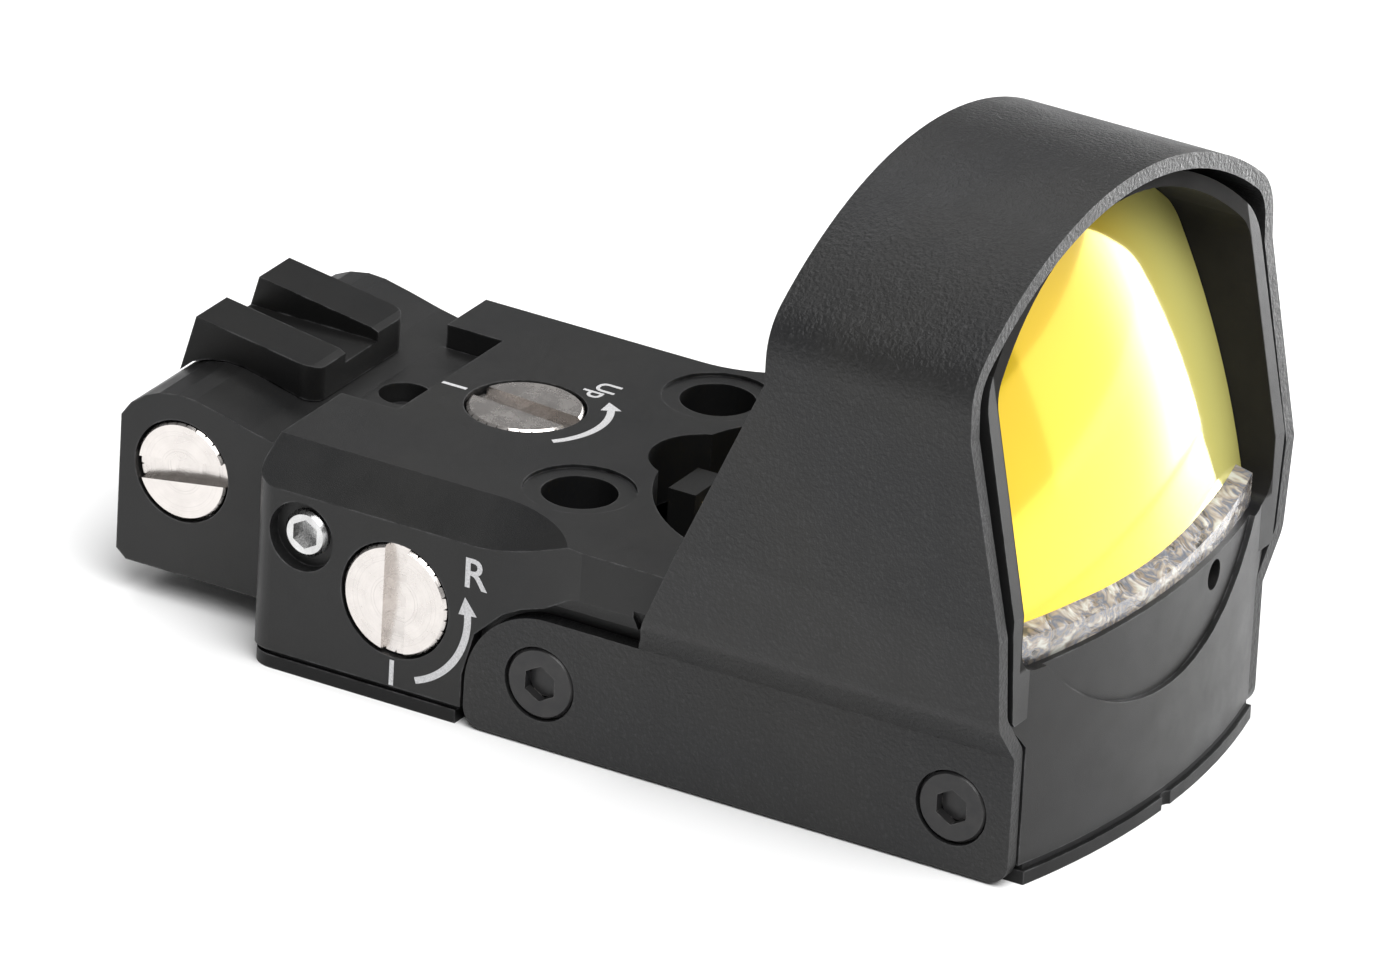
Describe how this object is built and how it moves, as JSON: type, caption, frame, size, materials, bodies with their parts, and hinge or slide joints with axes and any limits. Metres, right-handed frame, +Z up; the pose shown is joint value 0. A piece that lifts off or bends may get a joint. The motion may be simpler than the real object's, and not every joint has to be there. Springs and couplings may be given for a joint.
{
  "type": "reflex red dot finder",
  "caption": "Open reflex red dot finder: arched shroud over a tilted coated lens, flat deck with slotted adjusters, and a notched rear sight.",
  "frame": {"origin": "bottom centre of the finder, on the underside of its base plate", "axes": "-Y towards the target (the lens end), +Y to the eye (the rear notch), +Z up, +X away from the windage adjuster"},
  "size_m": [0.0314, 0.0569, 0.0338],
  "materials": {
    "anodised_body": "black anodised, fine satin",
    "anodised_shroud": "black bead-blasted finish",
    "coated_glass": "amber reflective coating",
    "clear_adhesive": "clear cured adhesive with bubbles",
    "anodised_plate": "black anodised",
    "black_rubber": "moulded",
    "black_steel": "black oxide",
    "bright_steel": "turned",
    "nickel_plated": "turned and nickel plated",
    "anodised_block": "black anodised",
    "black_leaf": "black oxide",
    "brass": "machined",
    "black_polymer": "moulded",
    "led_epoxy": "clear red epoxy",
    "spring_steel": "drawn wire",
    "cell_steel": "pressed",
    "contact_bronze": "rolled",
    "board": "glass-epoxy board",
    "black_epoxy": "moulded epoxy",
    "button_rubber": "moulded",
    "sensor_epoxy": "dark epoxy",
    "clear_window": "polished"
  },
  "bodies": {
    "body": {"housing": "anodised_body", "shroud": "anodised_shroud", "lens": "coated_glass", "lens_adhesive": "clear_adhesive", "base_plate": "anodised_plate", "base_gasket": "black_rubber", "shroud_screws": "black_steel", "base_screws": "black_steel", "rear_sight_screws": "black_steel", "rear_sight_block": "anodised_block", "guide_pins": "bright_steel", "elevation_spring": "spring_steel", "windage_spring": "spring_steel", "detent_balls": "bright_steel", "detent_springs": "spring_steel", "coin_cell": "cell_steel", "contact_upper": "contact_bronze", "contact_lower": "contact_bronze", "circuit_board": "board", "controller_chip": "black_epoxy", "switch_case": "black_polymer", "light_sensor": "sensor_epoxy", "sensor_strip": "board", "sensor_window": "clear_window", "windage_seal": "black_rubber", "elevation_seal": "black_rubber"},
    "windage_dial": {"windage_dial": "nickel_plated"},
    "elevation_dial": {"elevation_dial": "nickel_plated"},
    "elevation_slide": {"elevation_slide": "brass"},
    "emitter_carrier": {"emitter_carrier": "black_polymer", "emitter_chip": "led_epoxy", "carrier_pin": "bright_steel"},
    "windage_lock_screw": {"windage_lock_screw": "bright_steel"},
    "rear_sight_lock_screw": {"rear_sight_lock_screw": "black_steel"},
    "rear_sight_screw": {"rear_sight_screw": "nickel_plated"},
    "rear_sight_leaf": {"rear_sight_leaf": "black_leaf"},
    "control_button": {"control_button": "button_rubber"}
  },
  "joints": [
    {"name": "windage_turn", "type": "hinge", "parent": "body", "child": "windage_dial", "pos_m": [-0.01305, 0.00968, 0.0059], "axis": [-1, 0, 0], "range_deg": [-540, 540]},
    {"name": "elevation_turn", "type": "hinge", "parent": "body", "child": "elevation_dial", "pos_m": [0, 0.00998, 0.01194], "axis": [0, 0, 1], "range_deg": [-540, 540]},
    {"name": "slide_lift", "type": "slide", "parent": "body", "child": "elevation_slide", "axis": [0, 0, 1], "range_m": [-0.0003, 0.0003]},
    {"name": "carrier_shift", "type": "slide", "parent": "elevation_slide", "child": "emitter_carrier", "axis": [-1, 0, 0], "range_m": [-0.0003, 0.0003]},
    {"name": "windage_lock_turn", "type": "hinge", "parent": "body", "child": "windage_lock_screw", "pos_m": [-0.01263, 0.01538, 0.0079], "axis": [-1, 0, 0], "range_deg": [0, 360]},
    {"name": "rear_sight_lock_turn", "type": "hinge", "parent": "body", "child": "rear_sight_lock_screw", "pos_m": [0, 0.01718, 0.00965], "axis": [0, 0, 1], "range_deg": [0, 360]},
    {"name": "rear_sight_turn", "type": "hinge", "parent": "body", "child": "rear_sight_screw", "pos_m": [-0.00942, 0.02478, 0.00765], "axis": [-1, 0, 0], "range_deg": [-720, 720]},
    {"name": "rear_sight_shift", "type": "slide", "parent": "body", "child": "rear_sight_leaf", "axis": [-1, 0, 0], "range_m": [-0.0007, 0.0007]},
    {"name": "button_press", "type": "slide", "parent": "body", "child": "control_button", "axis": [-1, 0, 0], "range_m": [0, 0.0004], "stiffness_N_per_m": 2500, "springref_m": -0.0004}
  ],
  "couplings": [
    {"joint": "elevation_turn", "follows": "slide_lift", "rad_per_m": -31416},
    {"joint": "windage_turn", "follows": "carrier_shift", "rad_per_m": -31416},
    {"joint": "rear_sight_turn", "follows": "rear_sight_shift", "rad_per_m": 17952}
  ]
}
